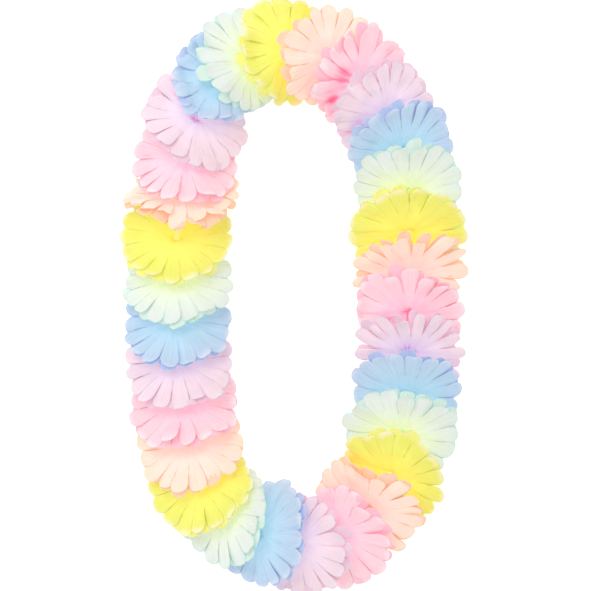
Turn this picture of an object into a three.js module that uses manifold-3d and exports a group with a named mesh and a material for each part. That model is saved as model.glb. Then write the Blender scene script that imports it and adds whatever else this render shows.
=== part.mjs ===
// A fabric flower lei laid flat as a closed oval loop.
// Thirty pastel blooms are threaded on one knotted cord, a short tube between each pair.
// Millimetres, +Z up, the table is z = 0 and the loop's middle is x = y = 0.
// Seen from above, the cord is followed clockwise and every bloom leans back against that way.

import * as THREE from 'three';
import { mergeVertices } from 'three/addons/utils/BufferGeometryUtils.js';
import Module from 'manifold-3d';

// ---- driving dimensions -------------------------------------------------------------

// The cord's route on the table, clockwise from the upper left.
const ROUTE = [
  [-75, 135], [-60, 161], [-36, 178], [-6, 186], [24, 182], [48, 167], [69, 142], [82, 114],
  [87, 80], [88, 44], [89, 5], [88, -34], [87, -70], [84, -99], [77, -129], [62, -156],
  [39, -177], [9, -187], [-22, -184], [-48, -168], [-66, -146], [-76, -120], [-82, -90],
  [-86, -60], [-88, -29], [-90, 4], [-89, 38], [-85, 72], [-81, 104],
];
const ROUTE_STEPS = 2000;       // steps used to measure along the route
const FIRST_HUB = 26;           // the first bloom's hub, along the route from its first point

const BLOOMS = 30;
const CORD_HEIGHT = 26;         // the cord's middle above the table
const CORD_RADIUS = 0.5;
const CORD_SIDES = 6;

const PETALS = 12;              // in each of a bloom's two wheels
const PETAL_REACH = 41.6;       // from the hub to an upper petal's tip, along the petal
const UNDER_REACH = 40.6;       // the same on the under wheel
const SLIT_FOOT = 19;           // how far out the slits between the petals start
const BLADE = 0.8;              // thickness of a petal
const SHOULDER_OUT = 36;        // where a petal is widest
const SHOULDER_HALF = 8;        // half its width there
const TIP_HALF = 4.2;           // half the width of its blunt tip
const UNDER_TIP_HALF = 5.4;     // the same on the under wheel, whose petals have no shoulder
const BENT_OUT = 32;            // where an under petal that meets the table is bent flat
const BENT_HALF = 6.6;          // half its width there
const TIP_DROOP = 4;            // how far an upper tip droops behind its wheel's plane
const UNDER_DROOP = 6;          // the same on the under wheel, which is bent back more

const TILT = 39;                // degrees that a wheel falls back from square to the cord
const TILT_SPREAD = 2;          // a bloom's own tilt differs by up to this
const TURN_SPREAD = 2;          // and its turn about the upright by up to this
const PETAL_SPREAD = 1.6;       // degrees that a petal may stand off its wheel
const REACH_SPREAD = 0.04;      // share by which a petal's length may differ
const SEED = 20;

const HUB_LENGTH = 4.8;         // between a bloom's two wheels
const HUB_RADIUS = 3;
const BORE_RADIUS = 1.8;        // the hole that the cord runs through
const UPPER_WHEEL_REST = 1.7;   // height at which the upper wheel lies on the under one

const TUBE_RADIUS = 2.5;        // the spacer between two blooms
const TUBE_BORE = 1.15;
const TUBE_SIDES = 6;
const HUB_CLEARANCE = 4.3;      // from a hub's middle to the end of the spacer beside it

const KNOT_RADIUS = 2.3;
const KNOT_SHAPE = [1.25, 0.9, 0.85];   // its lump, stretched along the cord
const KNOT_TAIL = 7;
const KNOT_TAIL_RADIUS = 0.45;
const KNOT_TAIL_LEAN = 0.9;     // how far its two ends lean from square, in radians

const COLOURS = [
  ['blue', 0xb8ddf3],
  ['mint', 0xe4f3e0],
  ['yellow', 0xf8f06a],
  ['peach', 0xfdddc9],
  ['pink', 0xfbccdb],
  ['lilac', 0xefd6eb],
];

// ---- small helpers ------------------------------------------------------------------

const radians = THREE.MathUtils.degToRad;

// A repeatable source of numbers from -1 to 1.
function drawer(seed) {
  let state = seed;
  return () => {
    state = (state + 0x6d2b79f5) | 0;
    let t = Math.imul(state ^ (state >>> 15), 1 | state);
    t = (t + Math.imul(t ^ (t >>> 7), 61 | t)) ^ t;
    return ((t ^ (t >>> 14)) >>> 0) / 2147483648 - 1;
  };
}

function meshed(points, triangles) {
  const geometry = new THREE.BufferGeometry();
  const flat = points.flatMap((p) => [p.x, p.y, p.z]);
  geometry.setAttribute('position', new THREE.Float32BufferAttribute(flat, 3));
  geometry.setIndex(triangles.flat());
  return geometry;
}

function named(name, geometry, material) {
  const mesh = new THREE.Mesh(geometry, material);
  mesh.name = name;
  return mesh;
}

const two = (n) => String(n).padStart(2, '0');

// ---- the hubs along the route -------------------------------------------------------

const route = new THREE.CatmullRomCurve3(
  ROUTE.map(([x, y]) => new THREE.Vector3(x, y, CORD_HEIGHT)),
  true,
  'catmullrom',
  0.5,
);
route.arcLengthDivisions = ROUTE_STEPS;

const hubs = Array.from({ length: BLOOMS }, (_, i) => {
  const along = FIRST_HUB / route.getLength() + i / BLOOMS;
  return route.getPointAt(along % 1);
});
const hubAfter = (i) => hubs[(i + 1) % BLOOMS];
const hubBefore = (i) => hubs[(i + BLOOMS - 1) % BLOOMS];

// The way the cord runs at a hub: halfway between the ways it comes and goes.
function wayAt(i) {
  const come = hubs[i].clone().sub(hubBefore(i)).normalize();
  const go = hubAfter(i).clone().sub(hubs[i]).normalize();
  return come.add(go).normalize();
}

// ---- a bloom ------------------------------------------------------------------------
// In a bloom's own frame +X is out of the loop, +Y is back along the cord and +Z is up.
// Angles go round the hub from +X towards +Z.

// A wheel is a round of petals cut from one sheet. It starts square to the cord at its
// bore and falls back as it goes out. Where it meets the table, or the wheel below it,
// the rest of the petal lies flat.
function wheelPoint(wheel, angle, out, petal) {
  const tilt = (wheel.tilt + petal.lift) * (1 - BORE_RADIUS / out);
  const along = new THREE.Vector3(
    Math.cos(angle),
    Math.sin(angle) * Math.sin(tilt),
    Math.sin(angle) * Math.cos(tilt),
  );
  const front = new THREE.Vector3(0, -Math.cos(tilt), Math.sin(tilt));
  const droop = wheel.droop * (out / PETAL_REACH) ** 2;
  const point = along.multiplyScalar(out).addScaledVector(front, -droop);
  point.y -= wheel.forward;
  const lowest = wheel.rest + BLADE / 2 - CORD_HEIGHT;
  if (point.z >= lowest) return { point, front, lying: false };
  const start = new THREE.Vector3(0, -wheel.forward, 0);
  const whole = point.clone().sub(start);
  const share = lowest / point.z;
  const left = whole.length() * (1 - share);
  const flat = new THREE.Vector3(whole.x, whole.y, 0);
  const reached = flat.length() * share;
  flat.setLength(reached + left);
  point.set(flat.x, start.y + flat.y, lowest);
  return { point, front: new THREE.Vector3(0, 0, 1), lying: true };
}

// The outline of one petal past the foot of its slits, as [across, out] from the hub.
function petalOutline(wheel, reach, bent) {
  const tip = wheel.shouldered ? TIP_HALF : UNDER_TIP_HALF;
  const rim = [[-tip, reach], [tip, reach]];
  if (wheel.shouldered) {
    return [[-SHOULDER_HALF, SHOULDER_OUT], ...rim, [SHOULDER_HALF, SHOULDER_OUT]];
  }
  if (bent) return [[-BENT_HALF, BENT_OUT], ...rim, [BENT_HALF, BENT_OUT]];
  return rim;
}

// One bloom: two wheels, the under one turned by half a petal, joined by a bored hub.
function bloomGeometry(draw) {
  const points = [];
  const triangles = [];
  const add = (point) => points.push(point) - 1;
  const phase = draw() * Math.PI;
  const tilt = radians(TILT + draw() * TILT_SPREAD);
  const step = (2 * Math.PI) / PETALS;

  const wheels = [
    {
      tilt,
      forward: HUB_LENGTH / 2,
      rest: UPPER_WHEEL_REST,
      reach: PETAL_REACH,
      droop: TIP_DROOP,
      shouldered: true,
      turn: 0,
    },
    {
      tilt,
      forward: -HUB_LENGTH / 2,
      rest: 0,
      reach: UNDER_REACH,
      droop: UNDER_DROOP,
      shouldered: false,
      turn: step / 2,
    },
  ];

  // Each place on a wheel gives a point on its front face and one on its back face.
  function bothFaces(wheel, angle, out, petal) {
    const { point, front } = wheelPoint(wheel, angle, out, petal);
    return {
      front: add(point.clone().addScaledVector(front, BLADE / 2)),
      back: add(point.clone().addScaledVector(front, -BLADE / 2)),
    };
  }

  function ring(wheel, out) {
    const still = { lift: 0 };
    return Array.from({ length: PETALS }, (_, i) => {
      const angle = phase + wheel.turn + (i - 0.5) * step;
      return bothFaces(wheel, angle, out, still);
    });
  }

  function bothSides(a, b, c) {
    triangles.push([a.front, b.front, c.front], [a.back, c.back, b.back]);
  }

  for (const wheel of wheels) {
    const inFront = wheel.forward > 0;
    const bore = ring(wheel, BORE_RADIUS);
    const collar = ring(wheel, HUB_RADIUS);
    // The outer face of the pair starts at the bore, the inner face at the hub's wall.
    wheel.bore = bore.map((p) => (inFront ? p.front : p.back));
    wheel.collar = collar.map((p) => (inFront ? p.back : p.front));
    const foot = ring(wheel, SLIT_FOOT);
    for (let i = 0; i < PETALS; i += 1) {
      const j = (i + 1) % PETALS;
      const faces = inFront
        ? { front: [wheel.bore[i], wheel.bore[j]], back: [wheel.collar[i], wheel.collar[j]] }
        : { front: [wheel.collar[i], wheel.collar[j]], back: [wheel.bore[i], wheel.bore[j]] };
      const hubStart = { front: faces.front[0], back: faces.back[0] };
      const hubEnd = { front: faces.front[1], back: faces.back[1] };
      bothSides(hubStart, foot[i], foot[j]);
      bothSides(hubStart, foot[j], hubEnd);

      const petal = { lift: radians(draw() * PETAL_SPREAD) };
      const reach = wheel.reach * (1 + draw() * REACH_SPREAD);
      const middle = phase + wheel.turn + i * step;
      const bent = wheelPoint(wheel, middle, BENT_OUT, petal).lying;
      const rim = petalOutline(wheel, reach, bent).map(([across, out]) => {
        const angle = middle + Math.atan2(across, out);
        return bothFaces(wheel, angle, Math.hypot(across, out), petal);
      });
      const edge = [foot[i], ...rim, foot[j]];
      for (let low = 0, high = edge.length - 1; high - low > 1; low += 1, high -= 1) {
        bothSides(edge[low], edge[low + 1], edge[high - 1]);
        bothSides(edge[low], edge[high - 1], edge[high]);
      }
      for (let k = 0; k + 1 < edge.length; k += 1) {
        const a = edge[k];
        const b = edge[k + 1];
        triangles.push([a.front, a.back, b.back], [a.front, b.back, b.front]);
      }
    }
  }

  // The bore's wall and the hub's wall join the two wheels.
  const [upper, under] = wheels;
  for (let i = 0; i < PETALS; i += 1) {
    const j = (i + 1) % PETALS;
    triangles.push([upper.bore[i], upper.bore[j], under.bore[i]]);
    triangles.push([upper.bore[j], under.bore[j], under.bore[i]]);
    triangles.push([upper.collar[i], under.collar[i], upper.collar[j]]);
    triangles.push([upper.collar[j], under.collar[i], under.collar[j]]);
  }
  return meshed(points, triangles);
}

function bloom(i, draw) {
  const [colour, hex] = COLOURS[i % COLOURS.length];
  const material = new THREE.MeshStandardMaterial({ color: hex, roughness: 0.85, metalness: 0 });
  const mesh = named(`bloom_${two(i + 1)}_${colour}`, bloomGeometry(draw), material);
  const way = wayAt(i);
  mesh.position.copy(hubs[i]);
  mesh.rotation.z = Math.atan2(way.x, -way.y) + radians(draw() * TURN_SPREAD);
  return mesh;
}

// ---- the cord, its knot and the spacer tubes ----------------------------------------

// The cord runs straight from hub to hub, in mitred corners.
function cordGeometry() {
  const points = [];
  const triangles = [];
  for (let i = 0; i < BLOOMS; i += 1) {
    const way = wayAt(i);
    const side = new THREE.Vector3(-way.y, way.x, 0);
    for (let k = 0; k < CORD_SIDES; k += 1) {
      const angle = (2 * Math.PI * k) / CORD_SIDES;
      const point = hubs[i].clone().addScaledVector(side, CORD_RADIUS * Math.cos(angle));
      point.z += CORD_RADIUS * Math.sin(angle);
      points.push(point);
    }
    const here = i * CORD_SIDES;
    const next = ((i + 1) % BLOOMS) * CORD_SIDES;
    for (let k = 0; k < CORD_SIDES; k += 1) {
      const m = (k + 1) % CORD_SIDES;
      triangles.push([here + k, here + m, next + k], [here + m, next + m, next + k]);
    }
  }
  return meshed(points, triangles);
}

const wasm = await Module();
wasm.setup();

function solid(geometry) {
  const bare = geometry.clone();
  bare.deleteAttribute('normal');
  bare.deleteAttribute('uv');
  const merged = mergeVertices(bare, 1e-4);
  return new wasm.Manifold(new wasm.Mesh({
    numProp: 3,
    vertProperties: new Float32Array(merged.attributes.position.array),
    triVerts: new Uint32Array(merged.index.array),
  }));
}

function geometryOf(manifold) {
  const mesh = manifold.getMesh();
  const geometry = new THREE.BufferGeometry();
  geometry.setAttribute('position', new THREE.Float32BufferAttribute(mesh.vertProperties, 3));
  geometry.setIndex(Array.from(mesh.triVerts));
  return geometry;
}

// The knot closes the loop between the last bloom and the first, with two short ends.
function knottedCord() {
  const middle = hubs[BLOOMS - 1].clone().add(hubs[0]).multiplyScalar(0.5);
  const way = hubs[0].clone().sub(hubs[BLOOMS - 1]).normalize();
  let cord = solid(cordGeometry());
  const ball = new THREE.IcosahedronGeometry(KNOT_RADIUS, 1);
  ball.scale(...KNOT_SHAPE);
  ball.rotateZ(Math.atan2(way.y, way.x));
  ball.translate(middle.x, middle.y, middle.z);
  cord = cord.add(solid(ball));
  for (const lean of [-1, 1]) {
    const end = new THREE.CylinderGeometry(KNOT_TAIL_RADIUS, KNOT_TAIL_RADIUS, KNOT_TAIL, 6);
    end.translate(0, KNOT_TAIL / 2, 0);
    end.rotateZ(lean * KNOT_TAIL_LEAN);
    end.rotateZ(Math.atan2(way.y, way.x));
    end.translate(middle.x, middle.y, middle.z);
    cord = cord.add(solid(end));
  }
  return geometryOf(cord);
}

function spacer(i, material) {
  const gap = hubAfter(i).clone().sub(hubs[i]);
  const length = gap.length() - 2 * HUB_CLEARANCE;
  const profile = [
    [TUBE_BORE, 0], [TUBE_RADIUS, 0], [TUBE_RADIUS, length], [TUBE_BORE, length], [TUBE_BORE, 0],
  ].map(([r, h]) => new THREE.Vector2(r, h));
  const tube = new THREE.LatheGeometry(profile, TUBE_SIDES);
  const mesh = named(`spacer_${two(i + 1)}`, tube, material);
  const way = gap.normalize();
  mesh.position.copy(hubs[i]).addScaledVector(way, HUB_CLEARANCE);
  mesh.quaternion.setFromUnitVectors(new THREE.Vector3(0, 1, 0), way);
  return mesh;
}

// ---- the lei ------------------------------------------------------------------------

const lei = new THREE.Group();
const draw = drawer(SEED);
for (let i = 0; i < BLOOMS; i += 1) lei.add(bloom(i, draw));

const cordWhite = new THREE.MeshStandardMaterial({ color: 0xf4f1ec, roughness: 0.8, metalness: 0 });
lei.add(named('cord_with_knot', knottedCord(), cordWhite));

for (let i = 0; i < BLOOMS - 1; i += 1) {
  const milky = new THREE.MeshStandardMaterial({ color: 0xf2f4f4, roughness: 0.4, metalness: 0 });
  lei.add(spacer(i, milky));
}

export default lei;
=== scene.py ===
# The looks of a fabric flower lei that lies flat as a closed oval loop.
# Thirty blooms of die-cut cloth petals are threaded on one cord. Metres, +Z up, table at z = 0.

import math

import bmesh
import bpy
import numpy as np
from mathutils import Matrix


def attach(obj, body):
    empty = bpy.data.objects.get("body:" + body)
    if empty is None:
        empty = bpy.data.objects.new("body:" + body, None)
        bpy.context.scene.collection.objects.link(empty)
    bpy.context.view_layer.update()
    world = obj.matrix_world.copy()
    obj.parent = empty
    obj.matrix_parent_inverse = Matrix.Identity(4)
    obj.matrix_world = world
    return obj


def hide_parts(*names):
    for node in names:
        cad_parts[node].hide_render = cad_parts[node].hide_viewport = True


MM = 0.001

# ---- the loop, as in the CAD -----------------------------------------------------------

# The cord's route on the table in millimetres, clockwise from the upper left.
ROUTE = [
    (-75, 135), (-60, 161), (-36, 178), (-6, 186), (24, 182), (48, 167), (69, 142), (82, 114),
    (87, 80), (88, 44), (89, 5), (88, -34), (87, -70), (84, -99), (77, -129), (62, -156),
    (39, -177), (9, -187), (-22, -184), (-48, -168), (-66, -146), (-76, -120), (-82, -90),
    (-86, -60), (-88, -29), (-90, 4), (-89, 38), (-85, 72), (-81, 104),
]
ROUTE_STEPS = 4000
FIRST_HUB = 26 * MM             # along the route from its first point
CORD_HEIGHT = 26 * MM           # of the cord over the table
COLOURS = ("blue", "mint", "yellow", "peach", "pink", "lilac")
BLOOMS = 30

# ---- one petal wheel, cut flat ---------------------------------------------------------

PETALS = 17
STEP = 2 * math.pi / PETALS     # from one petal to the next
ACROSS = 10                     # faces across a petal
SHAFT_ROWS = 12                 # rows of points from the bore to the shoulder
TIP_ROWS = 6                    # and round the tip
BORE = 1.8 * MM
SLIT_FOOT = 21 * MM             # how far out the slits between the petals start
SHOULDER = 34.8 * MM            # where a petal is widest
SHOULDER_HALF = 7.1 * MM        # wider than its share of the wheel, so that petals overlap
TIP = 6.7 * MM                  # from there to the end of its round tip
TIP_BLUNT = 0.8                 # 1 is an oval tip, and less is a blunter one
TIP_TURN = 82                   # how many degrees of the tip's round the rows go
REACH = SHOULDER + TIP
CLOTH = 0.26 * MM               # thickness of the cloth with its nap
ASIDE = 3                       # where the grid waits while its rows are drawn in one by one
SAME_ROW = 1e-4                 # how near a point is to a row that it belongs to
MERGE = 1e-6                    # how near two points are that are welded

# ---- how a wheel falls -----------------------------------------------------------------

WHEELS = (                      # forward on the cord, height it rests at, droop of its tips,
    # size, how freely its petals lift, and between which degrees, so that the two stay apart
    dict(forward=4.4 * MM, rest=1.2 * MM, droop=7.0 * MM, size=1.02, loose=1.0, lifts=(-30, 1.5)),
    dict(forward=1.5 * MM, rest=0.3 * MM, droop=8.4 * MM, size=0.965, loose=0.6, lifts=(-1, 6)),
)
DROOP_POWER = 2.2
LAP = 0.11                      # slope across a petal, which lays its edge over the next petal's
CURL = 0.8 * MM                 # how far the tips curl back
CAMBER = 1.2 * MM               # how far a petal's edges stand behind its middle
ROLLED_CAMBER = 2 * MM          # and how much further where it is rolled
PLEAT = 0.2 * MM                # height of the fine pleats along a petal
PLEATS = 3.3                    # how many lie across it
RIPPLE = 0.4 * MM               # height of the shallow ripples round a wheel
RIPPLES = 11
RUFFLE = 2.6 * MM               # height of the long waves round a wheel
SWELLS = ((2, 0.5), (3, 0.35), (5, 0.25))        # how many of them, with their shares
CRUMPLE = 2.4 * MM              # height of the folds in crumpled cloth
FOLDS = ((0.28, 0.12), (-0.15, 0.25), (0.2, -0.22))       # their ways, in radians a millimetre
FLOOR_EASE = 7 * MM             # height over the table in which a petal bends level
TINY = 1e-9                     # the least that a length counts as, where it divides another

# Between which shares of a petal's length each of these sets in.
CAMBERED = (0.5, 0.95)
PLEATED = (0.3, 0.7)
RIPPLED = (0.1, 0.5)
CURLED = (0.7, 1.0)
CRUMPLED = (0.15, 0.5)
LEANT = (0.1, 0.6)
SLIT_FREE = 0.8                 # a petal moves freely from this share of its slits' foot on

# How much these differ from petal to petal, and the tilt and turn from bloom to bloom.
LIVELY = (0.85, 1.5)            # the least and the most that a wheel's life is multiplied by
LIFT_SPREAD = 2.6               # degrees
CURL_SPREAD = 1.2 * MM
LENGTH_SPREAD = 0.025
ROLL_SPREAD = 0.03
CAMBER_SPREAD = 0.4
TILT_SPREAD = 1.2               # degrees
TURN_SPREAD = 1.5               # degrees

# How a bloom leans back from square to the cord, how much further the slanting petals at its
# corners lean and how far it is turned, in degrees. Wings are how steeply its outer and inner
# halves fold forward, and short is how much less they reach. Life is how unlike its petals are,
# roll how much narrower they are for being rolled, twist how unlike the slopes across them are,
# sway how far they swing aside, in millimetres, and crumple the share of the folds in it. Pits
# are where the eye reaches deep in between its petals: east, north and radius, in millimetres.
# Each pit is sunk and also painted with deep shade.
USUAL = dict(
    tilt=38, splay=34, turn=0, wings=(0, 0), short=(0, 0), life=1.0, roll=0.0, twist=0.06,
    sway=0.5, crumple=0.25, pits=(),
)
OWN = {                         # blooms, counted from 1, that fall in a way of their own
    1: dict(tilt=41, splay=25, wings=(0.46, 0.3), short=(0.12, 0.1), life=1.2, crumple=0.8),
    2: dict(tilt=39, turn=-5, short=(-0.05, 0.06)),
    3: dict(tilt=46, turn=3, wings=(0.06, 0)),
    4: dict(tilt=42, turn=-2, wings=(0.16, 0), short=(0.03, 0), life=1.3, roll=0.1, sway=0.2),
    5: dict(
        tilt=35, life=1.8, roll=0.18, twist=0.12, sway=1.0, pits=((38, 166, 7), (30, 150, 5)),
    ),
    6: dict(tilt=42, short=(0.08, 0), pits=((51, 128, 5),)),
    7: dict(tilt=42, life=1.3, roll=0.08),
    8: dict(life=0.7),
    9: dict(tilt=37, splay=26, wings=(0.15, 0.15), short=(-0.07, -0.06)),
    10: dict(
        tilt=26, wings=(0, 0.25), short=(-0.08, -0.04), life=1.8, roll=0.32, twist=0.15, sway=1.2,
    ),
    11: dict(tilt=36, wings=(0.2, 0), pits=((71, -20, 6),)),
    12: dict(tilt=31, turn=4, life=1.4, roll=0.38, twist=0.16, sway=1.0, pits=((87, -42, 5),)),
    13: dict(tilt=33, short=(0.06, 0.02)),
    14: dict(tilt=43, splay=30, wings=(0.08, 0.12), short=(-0.06, -0.06)),
    15: dict(tilt=37, splay=26, wings=(0.3, 0.1), short=(-0.04, 0)),
    16: dict(tilt=34, wings=(0, 0.17), short=(0.04, -0.1), life=1.3, roll=0.08),
    17: dict(tilt=43, short=(-0.08, 0.12)),
    18: dict(tilt=44, short=(0, 0.08), life=1.5, roll=0.14, twist=0.1),
    19: dict(wings=(0, -0.05), short=(0.15, -0.17)),
    20: dict(tilt=41, wings=(0, 0.25), short=(0.12, 0.04)),
    21: dict(tilt=45, short=(0, 0.08)),
    22: dict(tilt=45),
    24: dict(tilt=33),
    26: dict(splay=27, wings=(0.1, 0.1), short=(0.08, -0.1)),
    27: dict(tilt=43, splay=25, wings=(0.15, 0.25), short=(-0.04, -0.02), pits=((-68, 55, 6),)),
    28: dict(
        tilt=14, splay=18, wings=(0.1, 0.32), short=(-0.04, -0.04), life=1.5, twist=0.12, sway=0.8,
        crumple=0.7,
    ),
    29: dict(short=(0.07, 0.04)),
    30: dict(
        tilt=37, splay=45, turn=-12, wings=(0.15, 0), short=(0, -0.04), pits=((-76, 141, 5),),
    ),
}
PINCH = 1.3                     # how much less its inner side leans where the cord bends
CROWD = 0.2                     # and how much shorter it is there, for being crowded
FORE = 22                       # how many degrees further its low petals lean, to the front
FORE_WHOLE = 0.6                # how steeply down a petal points that has all of it, as a sine
PIT = 5 * MM                    # how deep a pit is
PIT_HEIGHTS = (8 * MM, 16 * MM)          # no pit below the first, and whole above the second
SEED = 11


def smooth(low, high, x):
    """0 at low and 1 at high, with soft ends."""
    t = np.clip((x - low) / (high - low), 0, 1)
    return t * t * (3 - 2 * t)


# ---- the hubs along the route ----------------------------------------------------------


def route_points():
    """The closed Catmull-Rom curve through ROUTE, in metres."""
    p = np.array(ROUTE, float) * MM
    n = len(p)
    t = np.arange(ROUTE_STEPS) * n / ROUTE_STEPS
    i = t.astype(int)
    w = (t - i)[:, None]
    p0, p1, p2, p3 = (p[(i + k) % n] for k in (-1, 0, 1, 2))
    m1, m2 = (p2 - p0) / 2, (p3 - p1) / 2
    return (
        p1
        + m1 * w
        + (3 * (p2 - p1) - 2 * m1 - m2) * w**2
        + (2 * (p1 - p2) + m1 + m2) * w**3
    )


def unit(vectors):
    """Each of these vectors at length 1."""
    return vectors / np.linalg.norm(vectors, axis=1)[:, None]


def hub_places():
    """Where each bloom's hub is, which way the cord runs there and how it turns, clockwise."""
    p = route_points()
    lengths = np.linalg.norm(np.roll(p, -1, axis=0) - p, axis=1)
    s = np.concatenate([[0], np.cumsum(lengths)])
    closed = np.vstack([p, p[:1]])
    at = (FIRST_HUB + np.arange(BLOOMS) * s[-1] / BLOOMS) % s[-1]
    hubs = np.stack([np.interp(at, s, closed[:, k]) for k in (0, 1)], axis=1)
    come = hubs - np.roll(hubs, 1, axis=0)
    go = np.roll(hubs, -1, axis=0) - hubs
    way = unit(unit(come) + unit(go))
    before, after = np.roll(way, 1, axis=0), np.roll(way, -1, axis=0)
    bend = (after[:, 0] * before[:, 1] - after[:, 1] * before[:, 0]) / 2
    return hubs, way, bend


# ---- the flat wheel --------------------------------------------------------------------


def petal_rows():
    """How far out each row of a petal's grid lies, and half its width there."""
    rows = []
    wedge = math.tan(math.pi / PETALS)
    foot_half = SLIT_FOOT * wedge
    for out in np.linspace(BORE, SHOULDER, SHAFT_ROWS):
        if out <= SLIT_FOOT:
            half = out * wedge
        else:
            share = (out - SLIT_FOOT) / (SHOULDER - SLIT_FOOT)
            half = foot_half + (SHOULDER_HALF - foot_half) * share
        rows.append((out, half))
    for k in range(1, TIP_ROWS + 1):
        turn = math.radians(TIP_TURN) * k / TIP_ROWS
        half = SHOULDER_HALF * math.cos(turn) ** TIP_BLUNT
        rows.append((SHOULDER + TIP * math.sin(turn), half))
    return rows


def flat_wheel():
    """A wheel of petals cut from flat cloth, as one mesh with a petal and a cloth UV map."""
    rows = petal_rows()
    bpy.ops.object.select_all(action="DESELECT")
    bpy.ops.mesh.primitive_grid_add(x_subdivisions=ACROSS, y_subdivisions=len(rows) - 1, size=2)
    wheel = bpy.context.object
    wheel.name = "flat_wheel"
    wheel.data.uv_layers[0].name = "petal"
    bpy.ops.object.mode_set(mode="EDIT")
    bpy.ops.transform.translate(value=(0, ASIDE, 0))
    for height, (out, half) in zip(np.linspace(-1, 1, len(rows)), rows):
        bpy.ops.mesh.select_all(action="DESELECT")
        select_points(wheel, lambda co: abs(co.y - ASIDE - height) < SAME_ROW)
        bpy.ops.transform.resize(value=(half, 1, 1), center_override=(0, 0, 0))
        bpy.ops.transform.translate(value=(0, out - ASIDE - height, 0))
    bpy.ops.mesh.select_all(action="SELECT")
    bpy.ops.mesh.spin(
        steps=PETALS - 1, dupli=True, angle=STEP * (PETALS - 1), center=(0, 0, 0), axis=(0, 0, 1),
    )
    bpy.ops.mesh.select_all(action="SELECT")
    bpy.ops.mesh.remove_doubles(threshold=MERGE)
    bpy.ops.mesh.normals_make_consistent(inside=False)
    bpy.ops.object.mode_set(mode="OBJECT")
    cloth = wheel.data.uv_layers.new(name="cloth")
    loops = np.zeros(len(wheel.data.loops), int)
    wheel.data.loops.foreach_get("vertex_index", loops)
    uv = points_of(wheel.data)[loops][:, :2] / (2 * REACH) + 0.5
    cloth.data.foreach_set("uv", uv.ravel())
    return wheel


def select_points(piece, test):
    """Selects the points of a piece in edit mode whose place passes the test."""
    mesh = bmesh.from_edit_mesh(piece.data)
    for vert in mesh.verts:
        vert.select = test(vert.co)
    mesh.select_flush(True)
    bmesh.update_edit_mesh(piece.data)


def points_of(mesh):
    """The places of a mesh's points, one to a row."""
    co = np.zeros(len(mesh.vertices) * 3)
    mesh.vertices.foreach_get("co", co)
    return co.reshape(-1, 3)


def wheel_order(flat):
    """Which point of the flat wheel lies at each row and column, as an array of indices."""
    order = []
    for out, half in petal_rows():
        line = []
        for k in range(PETALS):
            for column in range(ACROSS + 1):
                across = half * (2 * column / ACROSS - 1)
                turn = k * STEP
                x = across * math.cos(turn) + out * math.sin(turn)
                y = out * math.cos(turn) - across * math.sin(turn)
                line.append(np.hypot(flat[:, 0] - x, flat[:, 1] - y).argmin())
        order.append(line)
    return np.array(order)


def petal_numbers(order):
    """Which petal each point of the flat wheel is in."""
    petal = np.zeros(order.max() + 1, int)
    petal[order] = np.arange(order.shape[1]) // (ACROSS + 1)
    return petal


# ---- draping a wheel on its hub --------------------------------------------------------


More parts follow.
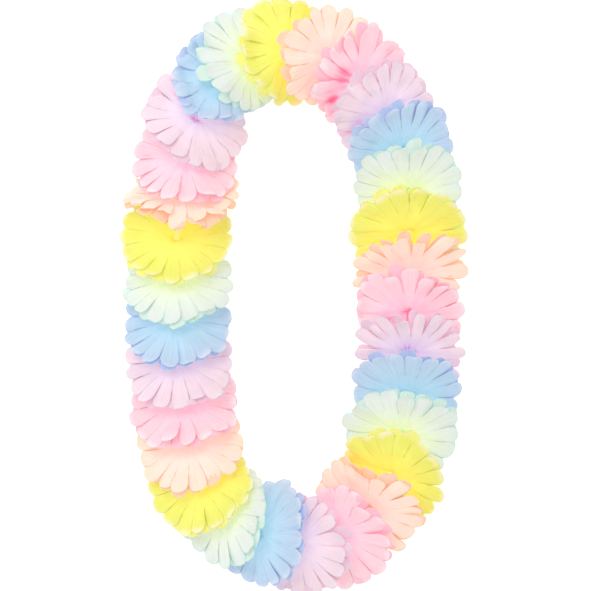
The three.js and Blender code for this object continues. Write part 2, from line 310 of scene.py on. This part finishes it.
def drape(flat, petal, fall, tilt, wheel, phase, waves, rng):
    """The flat wheel's points where the cloth hangs. +X out of the loop, +Y back along the cord."""
    lively = fall["life"] * rng.uniform(*LIVELY)
    at = petal * STEP
    out = flat[:, 0] * np.sin(at) + flat[:, 1] * np.cos(at)
    across = flat[:, 0] * np.cos(at) - flat[:, 1] * np.sin(at)
    half = np.interp(out, *np.array(petal_rows()).T)
    s = np.clip(across / half, -1, 1)
    edge = across / SHOULDER_HALF
    free = smooth(SLIT_FOOT * SLIT_FREE, REACH, out)
    far = out / REACH

    lift = rng.normal(0, LIFT_SPREAD * lively * wheel["loose"], PETALS)
    lift = np.radians(np.clip(lift, *wheel["lifts"]))[petal]
    sway = rng.normal(0, fall["sway"] * MM * lively, PETALS)[petal]
    curl = rng.normal(-CURL, CURL_SPREAD * lively * wheel["loose"], PETALS)[petal]
    twist = rng.normal(LAP, fall["twist"] * lively, PETALS)[petal]
    longer = (1 + rng.normal(0, LENGTH_SPREAD * lively, PETALS))[petal]
    roll = np.abs(rng.normal(fall["roll"], ROLL_SPREAD * lively**1.5, PETALS))[petal]
    camber = (CAMBER * (1 + rng.normal(0, CAMBER_SPREAD * lively, PETALS)))[petal]
    pleat_at = rng.uniform(0, 2 * math.pi, PETALS)[petal]

    across = across * (1 - roll * free) + sway * free**2
    size = wheel["size"] * (1 + (longer - 1) * free)
    where = phase + at + np.arctan2(across, out)
    outward, inward = np.maximum(np.cos(where), 0), np.maximum(-np.cos(where), 0)
    outer_short, inner_short = fall["short"]
    short = outer_short * outward**2 + (inner_short + CROWD * fall["bend"]) * inward**2
    reach = np.hypot(across, out) * size * (1 - short * free)
    swell = sum(
        share * np.sin(count * where + wave) for (count, share), wave in zip(SWELLS, waves)
    )
    rise = (
        -(camber + roll * ROLLED_CAMBER) * edge**2 * smooth(*CAMBERED, far)
        + PLEAT * np.cos(PLEATS * math.pi * s + pleat_at) * smooth(*PLEATED, far)
        + RIPPLE * np.sin(RIPPLES * where + waves[0]) * smooth(*RIPPLED, far)
        + curl * smooth(*CURLED, far) ** 2
        + twist * across * free
        + RUFFLE * lively * far**2 * swell
        + CRUMPLE * fall["crumple"] * creases(flat, waves) * smooth(*CRUMPLED, far)
    )
    corner = np.abs(np.cos(where))**3 * smooth(*LEANT, far)
    pinched = 1 - PINCH * fall["bend"] * inward
    lean = (tilt + math.radians(fall["splay"]) * corner) * pinched + lift * free
    lean = lean + math.radians(FORE) * smooth(0, FORE_WHOLE, -np.sin(where)) * smooth(*LEANT, far)
    lean = lean * (1 - BORE / np.maximum(reach, BORE))
    along = np.stack([np.cos(where), np.sin(where) * np.sin(lean), np.sin(where) * np.cos(lean)], 1)
    front = np.stack([np.zeros_like(lean), -np.cos(lean), np.sin(lean)], 1)
    droop = wheel["droop"] * (reach / REACH) ** DROOP_POWER
    point = along * reach[:, None] + front * (rise - droop)[:, None]
    outer, inner = fall["wings"]
    folded = np.where(point[:, 0] > 0, outer * point[:, 0], -inner * point[:, 0])
    point[:, 1] -= wheel["forward"] + folded
    return point


def creases(flat, waves):
    """Uneven folds in three directions over a wheel's flat cloth, about -1 to 1."""
    x, y = flat[:, 0] / MM, flat[:, 1] / MM
    first, second, third = (a * x + b * y + wave for (a, b), wave in zip(FOLDS, waves))
    folds = np.sin(first) + np.sin(second)
    return (folds + np.sin(third + folds)) / 2


def settle(point, order, wheel):
    """Bends what would sink into the table level along it, keeping each petal's length."""
    low = wheel["rest"] + CLOTH / 2 - CORD_HEIGHT
    lines = point[order]                       # rows from the bore out, columns round the wheel
    settled = lines.copy()
    for row in range(1, len(lines)):
        step = lines[row] - lines[row - 1]
        length = np.linalg.norm(step, axis=1)
        here = settled[row - 1]
        height = here[:, 2] - low
        ease = np.clip(height / FLOOR_EASE, 0, 1)
        ease = ease * (2 - ease)
        down = np.where(step[:, 2] < 0, step[:, 2] * ease, step[:, 2])
        level = np.sqrt(np.maximum(length**2 - down**2, 0))
        flat_length = np.maximum(np.linalg.norm(step[:, :2], axis=1), TINY)
        settled[row, :, :2] = here[:, :2] + step[:, :2] / flat_length[:, None] * level[:, None]
        settled[row, :, 2] = np.maximum(here[:, 2] + down, low)
    result = point.copy()
    result[order] = settled
    return result


def set_on_hub(point, turn, hub):
    """A draped wheel's points, turned to the cord's way and moved to the hub's place."""
    cos, sin = math.cos(turn), math.sin(turn)
    return np.stack([
        point[:, 0] * cos - point[:, 1] * sin + hub[0],
        point[:, 0] * sin + point[:, 1] * cos + hub[1],
        point[:, 2] + CORD_HEIGHT,
    ], 1)


def pit_depths(placed, pits):
    """How deep each point lies in a pit, 0 to 1. Petals near the table have none."""
    deep = np.zeros(len(placed))
    for east, north, radius in pits:
        away = np.hypot(placed[:, 0] - east * MM, placed[:, 1] - north * MM) / (radius * MM)
        deep = np.maximum(deep, np.exp(-away**2))
    return deep * smooth(*PIT_HEIGHTS, placed[:, 2])


def mark(mesh, label, values):
    """Keeps a number at each point of a mesh, for the material to read."""
    kept = mesh.attributes.new(label, "FLOAT", "POINT")
    kept.data.foreach_set("value", values.astype(np.float32))


def make_bloom(i, flat, order, petal, hub, way, bend):
    """Two draped wheels as one piece of cloth petals, in the lei's frame."""
    rng = np.random.default_rng([SEED, i])
    fall = USUAL | OWN.get(i + 1, {}) | dict(bend=bend)
    points = points_of(flat.data)
    phase = rng.uniform(0, STEP)
    waves = rng.uniform(0, 2 * math.pi, 3)
    tilt = math.radians(fall["tilt"] + rng.normal(0, TILT_SPREAD))
    turn = math.atan2(way[0], -way[1])
    turn += math.radians(fall["turn"] + rng.normal(0, TURN_SPREAD))
    wheels = []
    for layer, wheel in enumerate(WHEELS):
        own_phase = phase + layer * rng.uniform(0, STEP)
        point = drape(points, petal, fall, tilt, wheel, own_phase, waves, rng)
        placed = set_on_hub(settle(point, order, wheel), turn, hub)
        deep = pit_depths(placed, fall["pits"])
        placed[:, 2] -= PIT * deep
        mesh = flat.data.copy()
        mesh.vertices.foreach_set("co", placed.ravel())
        # The pits' depths, kept for their painted deep shade.
        mark(mesh, "pit_shade", deep)
        mark(mesh, "tone", rng.uniform(-1, 1, PETALS)[petal])
        mark(mesh, "layer", np.full(len(points), layer))
        mesh.update()
        piece = bpy.data.objects.new(f"wheel_{i + 1:02d}_{layer}", mesh)
        bpy.context.collection.objects.link(piece)
        wheels.append(piece)
    bpy.ops.object.select_all(action="DESELECT")
    for piece in wheels:
        piece.select_set(True)
    bloom = wheels[0]
    bpy.context.view_layer.objects.active = bloom
    bpy.ops.object.join()
    bloom.name = f"petals_{i + 1:02d}_{COLOURS[i % len(COLOURS)]}"
    bloom.data.name = bloom.name
    solid = bloom.modifiers.new("cloth", "SOLIDIFY")
    solid.thickness = CLOTH
    solid.offset = 0
    bpy.ops.object.modifier_apply(modifier=solid.name)
    bpy.ops.object.shade_smooth()
    return bloom


# ---- shader helpers --------------------------------------------------------------------


class Value:
    """A shader socket. Arithmetic on it adds Math nodes to its material."""

    def __init__(self, nodes, socket):
        self.nodes, self.socket = nodes, socket

    def math(self, operation, *others):
        return self.nodes.add("Math", dict(operation=operation), dict(enumerate((self, *others))))

    def __add__(self, other):
        return self.math("ADD", other)

    def __mul__(self, other):
        return self.math("MULTIPLY", other)

    def __sub__(self, other):
        return self.math("SUBTRACT", other)

    def __rsub__(self, other):
        return self.nodes.add("Math", dict(operation="SUBTRACT"), {0: other, 1: self})

    __radd__ = __add__
    __rmul__ = __mul__

    def size(self):
        return self.math("ABSOLUTE")

    def larger(self, other):
        return self.math("MAXIMUM", other)

    def between(self, low, high):
        """0 at low and 1 at high, with soft ends."""
        return self.nodes.add(
            "MapRange", dict(interpolation_type="SMOOTHSTEP"), {0: self, 1: low, 2: high}
        )


class Nodes:
    """The nodes of one material."""

    def __init__(self, name):
        self.material = bpy.data.materials.new(name)
        self.material.use_nodes = True
        self.tree = self.material.node_tree
        self.tree.nodes.clear()

    def add(self, kind, settings, values, out=0):
        """A node of that type, with its settings set first, then its sockets' values or links."""
        node = self.tree.nodes.new("ShaderNode" + kind)
        for key, value in settings.items():
            setattr(node, key, value)
        for key, value in values.items():
            if isinstance(value, Value):
                self.tree.links.new(value.socket, node.inputs[key])
            else:
                node.inputs[key].default_value = value
        return Value(self, node.outputs[out]) if len(node.outputs) else None

    def kept(self, label):
        """The number that mark kept at each point of the mesh."""
        return self.add("Attribute", dict(attribute_name=label), {}, out=2)

    def mix(self, factor, a, b, blend="MIX"):
        """Colour a turning to colour b as the factor goes from 0 to 1."""
        settings = dict(data_type="RGBA", blend_type=blend)
        return self.add("Mix", settings, {0: factor, 6: a, 7: b}, out=2)

    def finish(self, sockets):
        """The material, with these values or links on its surface."""
        shader = self.add("BsdfPrincipled", {}, sockets)
        self.add("OutputMaterial", {}, {"Surface": shader})
        return self.material


def colour(text):
    """A colour as a linear RGBA value, from its six-digit screen value."""
    parts = [int(text[k:k + 2], 16) / 255 for k in (0, 2, 4)]
    linear = [c / 12.92 if c <= 0.04045 else ((c + 0.055) / 1.055) ** 2.4 for c in parts]
    return (*linear, 1)


# ---- finishes --------------------------------------------------------------------------

GLOW = 0.21                     # painted glow, emitted for the light that comes through the thin cloth, as a share of white
THREADS = 75.0                  # scale of the weave over a wheel, a thread every 0.35 mm
BLACK = (0, 0, 0, 1)

# For each colour: painted deep shade in the throat and pits, round the hub, over the petal, at its
# tip, the lower wheel's with painted shade, painted rim light on the cut edge, and painted slit
# shade.
DYES_LIGHT_AND_SHADE = {
    "blue": ("8cc0e0", "bedaee", "bcd0e6", "d6deee", "bcc8ea", "d2dcf2", "8ca2bc"),
    "mint": ("b4e2cc", "e4ece8", "e0e7e4", "dee6de", "d6eadf", "ccf2e6", "a4b8ae"),
    "yellow": ("f4e460", "eef67c", "eaea74", "f8f0d4", "f0ee8a", "f6f4b4", "e2cc6a"),
    "peach": ("fcb090", "fceadc", "fae2d0", "f6e4c8", "f8ceb2", "fae6d0", "cc8c62"),
    "pink": ("fc80a4", "fcd8e2", "f8d2da", "f6e6ea", "f8c2d0", "f8dce4", "cc8298"),
    "lilac": ("e88cd0", "fae2e8", "eed7df", "ecdee6", "eacada", "ecd8ea", "ac8caa"),
}


def petal_cloth(name):
    """Thin satin-woven polyester, with painted deep shade in the throat at the hub, paler towards
    the tips.
    """
    throat_shade, hub, body, tip, below, rim, slit_shade_colour = map(colour, DYES_LIGHT_AND_SHADE[name])
    n = Nodes("petals_" + name)
    petal = n.add("UVMap", dict(uv_map="petal"), {})
    cloth = n.add("UVMap", dict(uv_map="cloth"), {})
    across = n.add("SeparateXYZ", {}, {0: petal}, out=0)
    along = n.add("SeparateXYZ", {}, {0: petal}, out=1)
    aside = (across * 2 - 1).size()
    tone = n.kept("tone")

    # The colour from the hub along the petal to its tip, with painted deep shade in the throat
    # round the cord.
    cloud = n.add("TexNoise", {}, {"Vector": cloth, "Scale": 9.0, "Detail": 2.0})
    v = along + (cloud - 0.5) * 0.25 + tone * 0.04
    dye_light_and_shade = n.mix(v.between(-0.04, 0.11), throat_shade, hub)
    dye_light_and_shade = n.mix(v.between(0.15, 0.75), dye_light_and_shade, body)
    dye_light_and_shade = n.mix(v.between(0.7, 1.0), dye_light_and_shade, tip)
    # The lower wheel gets a deeper copy of the colour, painted shade for lying under the upper
    # wheel.
    dye_light_and_shade = n.mix(n.kept("layer") * 0.8, dye_light_and_shade, below)

    # Painted rim light along the cut edge and tip, painted shade in the slits beside it and in the
    # pits.
    edge = (aside.between(0.72, 1.0) * along.between(0.5, 0.8)).larger(along.between(0.93, 1.0))
    dye_light_and_shade = n.mix(edge * 0.6, dye_light_and_shade, rim)
    # Painted shade in the slits, where one petal's edge lies over the next.
    slit_shade = aside.between(0.88, 1.0) * along.between(0.3, 0.5)
    slit_shade = slit_shade * (along * -1).between(-0.85, -0.62) * cloud.between(0.35, 0.6)
    dye_light_and_shade = n.mix(slit_shade * tone.between(-1.0, 0.4) * 0.75, dye_light_and_shade, slit_shade_colour, "MULTIPLY")
    # Painted deep shade in the pits, in the throat's colour, stronger towards the petals' edges.
    pit_shade = n.kept("pit_shade") * (aside * 0.9 + cloud * 0.8)
    dye_light_and_shade = n.mix(pit_shade.between(0.05, 1.0) * 0.9, dye_light_and_shade, throat_shade)

    # Painted glow for the light through the cloth, less of it towards the tip.
    glow = n.mix(v.between(0.1, 0.8) * 0.4, dye_light_and_shade, BLACK)

    # Pleats along the petal, which differ from one petal to the next, with painted shade in their
    # hollows.
    own = n.add("CombineXYZ", {}, {0: across * 7 + tone * 31, 1: along * 0.8 + tone * 17})
    pleat_relief_and_shade = n.add("TexNoise", {}, {"Vector": own, "Scale": 1.0, "Detail": 2.5, "Roughness": 0.6})
    dye_light_and_shade = n.mix(pleat_relief_and_shade.between(0.62, 0.38) * 0.2, dye_light_and_shade, hub, "MULTIPLY")

    # The weave and its thicker threads.
    weave = {"Vector": cloth, "Scale": THREADS, "Distortion": 0.3}
    weft = n.add("TexWave", dict(bands_direction="X"), weave)
    warp = n.add("TexWave", dict(bands_direction="Y"), weave)
    slub = n.add("TexNoise", {}, {"Vector": cloth, "Scale": 60.0, "Detail": 3.0})
    height = weft * 0.1 + warp * 0.1 + slub * 0.12 + pleat_relief_and_shade * 1.1
    return n.finish({
        "Base Color": dye_light_and_shade,
        "Roughness": 0.78 + slub * 0.12,
        "Normal": n.add("Bump", {}, {"Strength": 0.5, "Distance": 0.4 * MM, "Height": height}),
        "Specular IOR Level": 0.2,
        "Sheen Weight": 0.15,
        "Sheen Roughness": 0.5,
        "Emission Color": glow,
        "Emission Strength": GLOW,
    })


def cord_finish():
    """Twisted cotton, nearly white."""
    n = Nodes("cord")
    place = n.add("TexCoord", {}, {}, out=3)
    strands = n.add("TexNoise", {}, {"Vector": place, "Scale": 900.0, "Detail": 2.0})
    return n.finish({
        "Base Color": n.mix(strands, colour("e6e1d6"), colour("f8f5ee")),
        "Roughness": 0.85,
        "Normal": n.add("Bump", {}, {"Strength": 0.4, "Distance": 0.2 * MM, "Height": strands}),
        "Sheen Weight": 0.2,
    })


# Clear tubing takes on the light of the cloth that it stands in, painted into its colour here.
TUBE_CLOTH_LIGHT = {
    "blue": "74b8e0", "mint": "b8e09c", "yellow": "faec6c",
    "peach": "fa9c62", "pink": "fa6a98", "lilac": "dc74c6",
}


def tube_finish(name):
    """Thin milky plastic straw, with the cloth's light painted in and a painted glow."""
    n = Nodes("spacer_tube_" + name)
    place = n.add("TexCoord", {}, {}, out=3)
    flow = n.add("TexNoise", {}, {"Vector": place, "Scale": 120.0, "Detail": 1.0})
    base = n.mix(flow * 0.25, colour(TUBE_CLOTH_LIGHT[name]), colour("f6f8f8"))
    return n.finish({
        "Base Color": base,
        "Roughness": 0.35 + flow * 0.1,
        "Subsurface Weight": 0.3,
        "Subsurface Scale": 1 * MM,
        # Painted glow, like the petals', which lifts the tube out of the shade it lies in.
        "Emission Color": base,
        "Emission Strength": GLOW,
    })


def give(piece, material):
    """Puts a material on a piece in place of what it has."""
    piece.data.materials.clear()
    piece.data.materials.append(material)


# ---- the room --------------------------------------------------------------------------

VIEW_HEIGHT = 2.2
VIEW_WIDTH = 0.4475             # what the picture spans at the petals' height
VIEW_AT = (1.5 * MM, 0.6 * MM, 34 * MM)
CLIP_END = 10
SKY = 0.81
BOUNCES = 8                     # of the light among the petals
KEY_WATTS = 10.4
KEY_PLACE = (-0.5, 0.7, 1.9)
KEY_WIDTH = 1.2
TABLE_WIDTH = 6
TABLE_GLOW = 0.45               # the table is lit from below, as for a picture on white
TABLE_WHITE = (0.97, 0.97, 0.97, 1)


def make_camera():
    """A camera straight above the lei, far enough away for its slight perspective."""
    camera = bpy.data.cameras.new("camera")
    camera.sensor_fit = "HORIZONTAL"
    camera.lens = camera.sensor_width * (VIEW_HEIGHT - VIEW_AT[2]) / VIEW_WIDTH
    camera.clip_end = CLIP_END
    eye = bpy.data.objects.new("camera", camera)
    eye.location = (VIEW_AT[0], VIEW_AT[1], VIEW_HEIGHT)
    bpy.context.scene.collection.objects.link(eye)
    bpy.context.scene.camera = eye


def make_lamp(name, at, width, watts):
    """A round lamp that points at the middle of the table."""
    lamp = bpy.data.lights.new(name, "AREA")
    lamp.shape = "DISK"
    lamp.size = width
    lamp.energy = watts
    stand = bpy.data.objects.new(name, lamp)
    stand.location = at
    x, y, z = at
    stand.rotation_euler = (math.atan2(math.hypot(x, y), z), 0, math.atan2(-y, -x) - math.pi / 2)
    bpy.context.scene.collection.objects.link(stand)


def make_table():
    """The white ground that the lei lies on."""
    bpy.ops.object.select_all(action="DESELECT")
    bpy.ops.mesh.primitive_plane_add(size=TABLE_WIDTH)
    table = bpy.context.object
    table.name = "table"
    give(table, Nodes("table").finish({
        "Base Color": TABLE_WHITE,
        "Roughness": 0.9,
        "Specular IOR Level": 0.1,
        "Emission Color": TABLE_WHITE,
        "Emission Strength": TABLE_GLOW,
    }))


def make_room():
    """Even light from all round, one soft lamp and the table."""
    world = bpy.data.worlds.new("studio")
    world.use_nodes = True
    back = world.node_tree.nodes["Background"]
    back.inputs["Color"].default_value = (1, 1, 1, 1)
    back.inputs["Strength"].default_value = SKY
    bpy.context.scene.world = world
    bpy.context.scene.view_settings.view_transform = "Standard"
    bpy.context.scene.cycles.diffuse_bounces = BOUNCES
    make_lamp("key", KEY_PLACE, KEY_WIDTH, KEY_WATTS)
    make_table()


# ---- the lei ---------------------------------------------------------------------------

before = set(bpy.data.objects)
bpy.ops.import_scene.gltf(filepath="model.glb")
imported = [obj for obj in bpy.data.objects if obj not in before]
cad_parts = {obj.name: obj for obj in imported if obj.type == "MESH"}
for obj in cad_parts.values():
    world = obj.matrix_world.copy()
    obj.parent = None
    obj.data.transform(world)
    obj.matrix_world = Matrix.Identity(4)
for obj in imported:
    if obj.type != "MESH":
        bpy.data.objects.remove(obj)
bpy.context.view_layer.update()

make_camera()
make_room()

flat = flat_wheel()
order = wheel_order(points_of(flat.data))
petal = petal_numbers(order)
hubs, ways, bends = hub_places()
cloths = {name: petal_cloth(name) for name in COLOURS}
for i in range(BLOOMS):
    name = COLOURS[i % len(COLOURS)]
    bloom = make_bloom(i, flat, order, petal, hubs[i], ways[i], bends[i])
    give(bloom, cloths[name])
    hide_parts(f"bloom_{i + 1:02d}_{name}")
    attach(bloom, "root")
bpy.data.objects.remove(flat)

cord = cord_finish()
tubes = {name: tube_finish(name) for name in COLOURS}
for name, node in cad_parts.items():
    if name.startswith("spacer"):
        behind = COLOURS[(int(name[-2:]) - 1) % len(COLOURS)]
        give(node, tubes[behind])
    elif name.startswith("cord"):
        give(node, cord)
